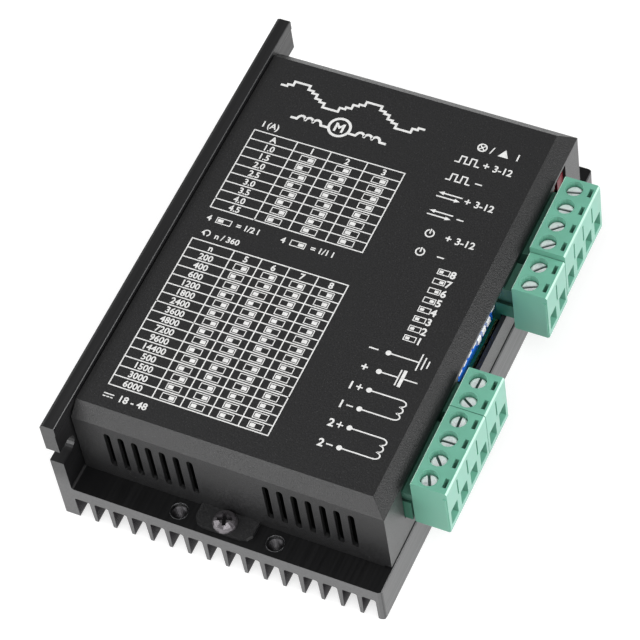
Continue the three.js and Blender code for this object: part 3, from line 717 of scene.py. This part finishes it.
# power side: ground, supply and two windings
def lead(x, y, x2):
    ink_disc(x, y, 0.62)
    ink_line((x, y), (x2, y), 0.3)
lead(60.9, 42.9, 67.8)
for k, h in enumerate((2.05, 1.45, 0.8)):
    ink_line((67.95 + k, 42.95 - h), (67.95 + k, 42.95 + h), 0.3)
ink_line((56.6, 42.9), (58.4, 42.9), 0.34)
lead(60.9, 37.9, 65.1)
ink_line((65.3, 36.0), (65.3, 39.8), 0.3)
ink_line((66.2, 36.1), (66.2, 39.7), 0.75)
ink_line((66.6, 37.9), (69.5, 37.9), 0.3)
ink_text("+", 57.6, 37.0, 2.0, "CENTER", 0, 0.08)
for ya, yb, t in ((32.9, 27.9, "1"), (22.9, 17.7, "2")):
    ink_disc(60.9, ya, 0.62)
    ink_disc(60.9, yb, 0.62)
    r = (ya - yb) / 6
    pts = [(60.9, ya), (68.3, ya)]
    for k in range(3):
        c = ya - r * (2 * k + 1)
        pts += [(68.4 + 1.25 * math.cos(math.radians(a)), c + r * math.sin(math.radians(a))) for a in range(80, -81, -20)]
    pts += [(68.3, yb), (60.9, yb)]
    ink_path(pts, 0.3)
    ink_text(t, 56.8, ya - 0.95, 1.9, "CENTER", 0, 0.08)
    ink_line((58.1, ya), (59.3, ya), 0.3)
    ink_line((58.7, ya - 0.6), (58.7, ya + 0.6), 0.3)
    ink_text(t, 56.8, yb - 0.95, 1.9, "CENTER", 0, 0.08)
    ink_line((58.1, yb), (59.3, yb), 0.3)

ink = M("white_ink")
wear = ink.noise(1500, 3)
ink.set(Base_Color=ink.mix(ink.ramp(wear, 0.25, 0.75), (0.66, 0.66, 0.65), (0.82, 0.82, 0.81)), Roughness=ink.ramp(wear, 0.2, 0.8, 0.42, 0.58))
ink.bump(ink.noise(2600, 2), 0.15, 0.00003)
marks = bpy.data.meshes.new("marks")
marks.from_pydata([tuple(v) for v in ink_v], [], ink_f)
mo = bpy.data.objects.new("marks", marks)
bpy.context.scene.collection.objects.link(mo)
printing = join_as("cover_printing", [mo] + texts)
printing.data.materials.clear()
printing.data.materials.append(ink.m)
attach(printing, "housing")

# ---------------------------------------------------------------- floor, light, camera
def floor_material():
    m = M("floor_white")
    n = m.noise(6, 3)
    m.set(Base_Color=m.mix(m.ramp(n, 0.3, 0.7), (0.50, 0.50, 0.50), (0.54, 0.54, 0.54)), Roughness=m.ramp(n, 0.3, 0.7, 0.75, 0.85))
    m.set(Emission_Color=(1, 1, 1, 1), Emission_Strength=0.60)
    m.bump(m.noise(900, 2), 0.02, 0.0001)
    return m
fm = bpy.data.meshes.new("floor")
s = 3.0
fm.from_pydata([(-s, -s, 0), (s, -s, 0), (s, s, 0), (-s, s, 0)], [], [(0, 1, 2, 3)])
floor = bpy.data.objects.new("floor", fm)
floor.location.z = -0.0001
bpy.context.scene.collection.objects.link(floor)
floor.data.materials.append(floor_material().m)

def area(name, loc, target, size, power, size_y=None, colour=(1, 1, 1)):
    l = bpy.data.lights.new(name, "AREA")
    l.shape = "RECTANGLE"
    l.size = size
    l.size_y = size_y or size
    l.energy = power
    l.color = colour
    o = bpy.data.objects.new(name, l)
    o.location = loc
    o.rotation_euler = (Vector(target) - Vector(loc)).to_track_quat("-Z", "Y").to_euler()
    bpy.context.scene.collection.objects.link(o)
    return o
area("front_soft", (-0.42, -0.92, 0.56), (0, 0, 0.02), 1.0, 6.0, 0.5)
area("right_soft", (1.05, 0.15, 0.50), (0, 0, 0.02), 0.7, 8.0, 0.5)
area("left_soft", (-1.0, -0.1, 0.75), (0, 0, 0.02), 0.6, 3.0, 0.6)
area("high_soft", (0.45, -0.55, 1.15), (0, 0, 0), 0.6, 6.0, 0.6)
world = bpy.data.worlds.new("studio")
bpy.context.scene.world = world
world.use_nodes = True
bg = next(n for n in world.node_tree.nodes if n.type == "BACKGROUND")
wt = world.node_tree
wc = wt.nodes.new("ShaderNodeTexCoord")
wd = wt.nodes.new("ShaderNodeVectorMath")
wd.operation = "DOT_PRODUCT"
wd.inputs[1].default_value = Vector((-0.32, 0.49, 0.81)).normalized()
wt.links.new(wc.outputs["Generated"], wd.inputs[0])
wr = wt.nodes.new("ShaderNodeMapRange")
wr.inputs["From Min"].default_value = 0.1
wr.inputs["From Max"].default_value = 0.95
wr.inputs["To Min"].default_value = 0.50
wr.inputs["To Max"].default_value = 0.26
wt.links.new(wd.outputs["Value"], wr.inputs["Value"])
wt.links.new(wr.outputs["Result"], bg.inputs[1])
bg.inputs[0].default_value = (1, 1, 1, 1)
bpy.context.scene.view_settings.view_transform = "Standard"
bpy.context.scene.view_settings.look = "None"

cam = bpy.data.cameras.new("camera")
cam.sensor_fit = "HORIZONTAL"
cam.sensor_width = 36.0
cam.lens = 175.795
cam.clip_start = 0.05
cam.clip_end = 20
co = bpy.data.objects.new("camera", cam)
bpy.context.scene.collection.objects.link(co)
right = Vector((0.9044416352540847, 0.413211112469687, -0.10602784988143853))
down = Vector((0.28239973834506793, -0.7662245204358088, -0.5771917983353125))
fwd = Vector((-0.3197432035267588, 0.4920940568778275, -0.8096960682774538))
rot = Matrix((right, -down, -fwd)).transposed().to_4x4()
co.matrix_world = Matrix.Translation(Vector((0.21199358, -0.33832034, 0.56735469))) @ rot
bpy.context.scene.camera = co
